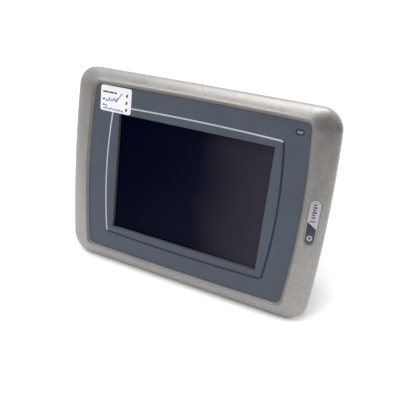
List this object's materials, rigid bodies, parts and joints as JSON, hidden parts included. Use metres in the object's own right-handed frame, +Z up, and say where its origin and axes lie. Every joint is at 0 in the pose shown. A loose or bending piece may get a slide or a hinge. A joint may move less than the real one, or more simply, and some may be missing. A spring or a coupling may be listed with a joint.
{
  "type": "panel-mount operator touch screen",
  "caption": "Panel-mount operator touch screen with a domed cast front, a rear case with a plug bay, side card slot and wall clamps.",
  "frame": {"origin": "centre of the front frame's mounting face, the plane that bears on the front of the cabinet wall", "axes": "+X to the right as the user faces the screen, +Y from the front into the cabinet, +Z up"},
  "size_m": [0.202, 0.0572, 0.15],
  "materials": {
    "silver_paint": "fine-textured silver powder coat",
    "grey_film": "satin blue-grey printed film",
    "badge": "domed clear resin over a silver and dark print",
    "label_paper": "white paper sticker",
    "clear_plastic": "clear moulded acrylic",
    "lamp": "diffused green lamp, unlit",
    "gasket_rubber": "black foam rubber",
    "screen_glass": "dark glass of an unlit screen",
    "amber_flex": "amber polyimide flex with copper traces",
    "bright_steel": "bright tinned steel",
    "zinc_steel": "zinc-plated steel",
    "white_plastic": "white moulded plastic",
    "circuit_board": "green solder mask over a glass-fibre board",
    "brass_part": "plain turned brass",
    "black_plastic": "black moulded plastic",
    "capacitor_can": "aluminium can",
    "green_plastic": "green moulded polyamide",
    "switch_plastic": "blue moulded plastic",
    "case_paint": "grey powder coat on folded sheet steel",
    "label_foil": "matt silver foil"
  },
  "bodies": {
    "root": {"front_frame": "silver_paint", "front_gasket": "gasket_rubber", "front_overlay": "grey_film", "name_badge": "badge", "service_label": "label_paper", "led_light_pipe": "clear_plastic", "status_led": "lamp", "touch_seal": "gasket_rubber", "touch_glass": "screen_glass", "touch_tail": "amber_flex", "lcd_bezel": "bright_steel", "lcd_glass": "screen_glass", "lcd_backlight": "white_plastic", "lcd_bracket": "zinc_steel", "display_flex": "amber_flex", "backlight_inverter": "circuit_board", "board_standoffs": "brass_part", "main_board": "circuit_board", "processor_chip": "black_plastic", "memory_chips": "black_plastic", "capacitors": "capacitor_can", "battery_holder": "black_plastic", "coin_cell": "bright_steel", "m3_screws": "zinc_steel", "serial_port_25": "bright_steel", "serial_port_9": "bright_steel", "jack_nuts": "zinc_steel", "ethernet_jack": "bright_steel", "usb_host_port": "bright_steel", "usb_device_port": "bright_steel", "power_header": "green_plastic", "earth_stud": "brass_part", "earth_nut": "brass_part", "card_slot": "black_plastic", "mode_switch": "switch_plastic", "rear_case": "case_paint", "case_posts": "zinc_steel", "case_screws": "zinc_steel", "expansion_cover": "case_paint", "rating_label": "label_foil", "clamp_brackets": "zinc_steel"},
    "power_plug": {"power_plug": "green_plastic"},
    "card_eject_button": {"card_eject_button": "black_plastic"},
    "card_eject_arm": {"card_eject_arm": "zinc_steel"},
    "power_plug_screw_1": {"power_plug_screw_1": "zinc_steel"},
    "power_plug_screw_2": {"power_plug_screw_2": "zinc_steel"},
    "power_plug_screw_3": {"power_plug_screw_3": "zinc_steel"},
    "mode_slider_1": {"mode_slider_1": "white_plastic"},
    "mode_slider_2": {"mode_slider_2": "white_plastic"},
    "mode_slider_3": {"mode_slider_3": "white_plastic"},
    "mode_slider_4": {"mode_slider_4": "white_plastic"},
    "clamp_foot_1": {"clamp_foot_1": "zinc_steel"},
    "clamp_screw_1": {"clamp_screw_1": "zinc_steel"},
    "clamp_foot_2": {"clamp_foot_2": "zinc_steel"},
    "clamp_screw_2": {"clamp_screw_2": "zinc_steel"},
    "clamp_foot_3": {"clamp_foot_3": "zinc_steel"},
    "clamp_screw_3": {"clamp_screw_3": "zinc_steel"},
    "clamp_foot_4": {"clamp_foot_4": "zinc_steel"},
    "clamp_screw_4": {"clamp_screw_4": "zinc_steel"}
  },
  "joints": [
    {"name": "power_plug_pull", "type": "slide", "parent": "root", "child": "power_plug", "axis": [0, 0, -1], "range_m": [0, 0.012]},
    {"name": "card_eject_push", "type": "slide", "parent": "root", "child": "card_eject_button", "axis": [-1, 0, 0], "range_m": [0, 0.003]},
    {"name": "card_eject_swing", "type": "hinge", "parent": "root", "child": "card_eject_arm", "pos_m": [0.05, 0.0327, 0.028], "axis": [0, -1, 0], "range_deg": [0, 21.6]},
    {"name": "terminal_screw_1_turn", "type": "hinge", "parent": "power_plug", "child": "power_plug_screw_1", "pos_m": [0.05492, 0.0346, -0.052], "axis": [0, 1, 0], "range_deg": [0, 1800]},
    {"name": "terminal_screw_2_turn", "type": "hinge", "parent": "power_plug", "child": "power_plug_screw_2", "pos_m": [0.06, 0.0346, -0.052], "axis": [0, 1, 0], "range_deg": [0, 1800]},
    {"name": "terminal_screw_3_turn", "type": "hinge", "parent": "power_plug", "child": "power_plug_screw_3", "pos_m": [0.06508, 0.0346, -0.052], "axis": [0, 1, 0], "range_deg": [0, 1800]},
    {"name": "mode_slider_1_slide", "type": "slide", "parent": "root", "child": "mode_slider_1", "axis": [0, 1, 0], "range_m": [0, 0.0022]},
    {"name": "mode_slider_2_slide", "type": "slide", "parent": "root", "child": "mode_slider_2", "axis": [0, 1, 0], "range_m": [0, 0.0022]},
    {"name": "mode_slider_3_slide", "type": "slide", "parent": "root", "child": "mode_slider_3", "axis": [0, 1, 0], "range_m": [0, 0.0022]},
    {"name": "mode_slider_4_slide", "type": "slide", "parent": "root", "child": "mode_slider_4", "axis": [0, 1, 0], "range_m": [0, 0.0022]},
    {"name": "clamp_foot_1_slide", "type": "slide", "parent": "root", "child": "clamp_foot_1", "axis": [0, -1, 0], "range_m": [0, 0.006]},
    {"name": "clamp_screw_1_turn", "type": "hinge", "parent": "clamp_foot_1", "child": "clamp_screw_1", "pos_m": [-0.06, 0.0097, 0.0677], "axis": [0, -1, 0], "range_deg": [0, 4321]},
    {"name": "clamp_foot_2_slide", "type": "slide", "parent": "root", "child": "clamp_foot_2", "axis": [0, -1, 0], "range_m": [0, 0.006]},
    {"name": "clamp_screw_2_turn", "type": "hinge", "parent": "clamp_foot_2", "child": "clamp_screw_2", "pos_m": [0.06, 0.0097, 0.0677], "axis": [0, -1, 0], "range_deg": [0, 4321]},
    {"name": "clamp_foot_3_slide", "type": "slide", "parent": "root", "child": "clamp_foot_3", "axis": [0, -1, 0], "range_m": [0, 0.006]},
    {"name": "clamp_screw_3_turn", "type": "hinge", "parent": "clamp_foot_3", "child": "clamp_screw_3", "pos_m": [-0.06, 0.0097, -0.0677], "axis": [0, -1, 0], "range_deg": [0, 4321]},
    {"name": "clamp_foot_4_slide", "type": "slide", "parent": "root", "child": "clamp_foot_4", "axis": [0, -1, 0], "range_m": [0, 0.006]},
    {"name": "clamp_screw_4_turn", "type": "hinge", "parent": "clamp_foot_4", "child": "clamp_screw_4", "pos_m": [0.06, 0.0097, -0.0677], "axis": [0, -1, 0], "range_deg": [0, 4321]}
  ],
  "couplings": [
    {"joint": "card_eject_swing", "follows": "card_eject_push", "rad_per_m": 125},
    {"joint": "clamp_screw_1_turn", "follows": "clamp_foot_1_slide", "rad_per_m": 12566},
    {"joint": "clamp_screw_2_turn", "follows": "clamp_foot_2_slide", "rad_per_m": 12566},
    {"joint": "clamp_screw_3_turn", "follows": "clamp_foot_3_slide", "rad_per_m": 12566},
    {"joint": "clamp_screw_4_turn", "follows": "clamp_foot_4_slide", "rad_per_m": 12566}
  ]
}
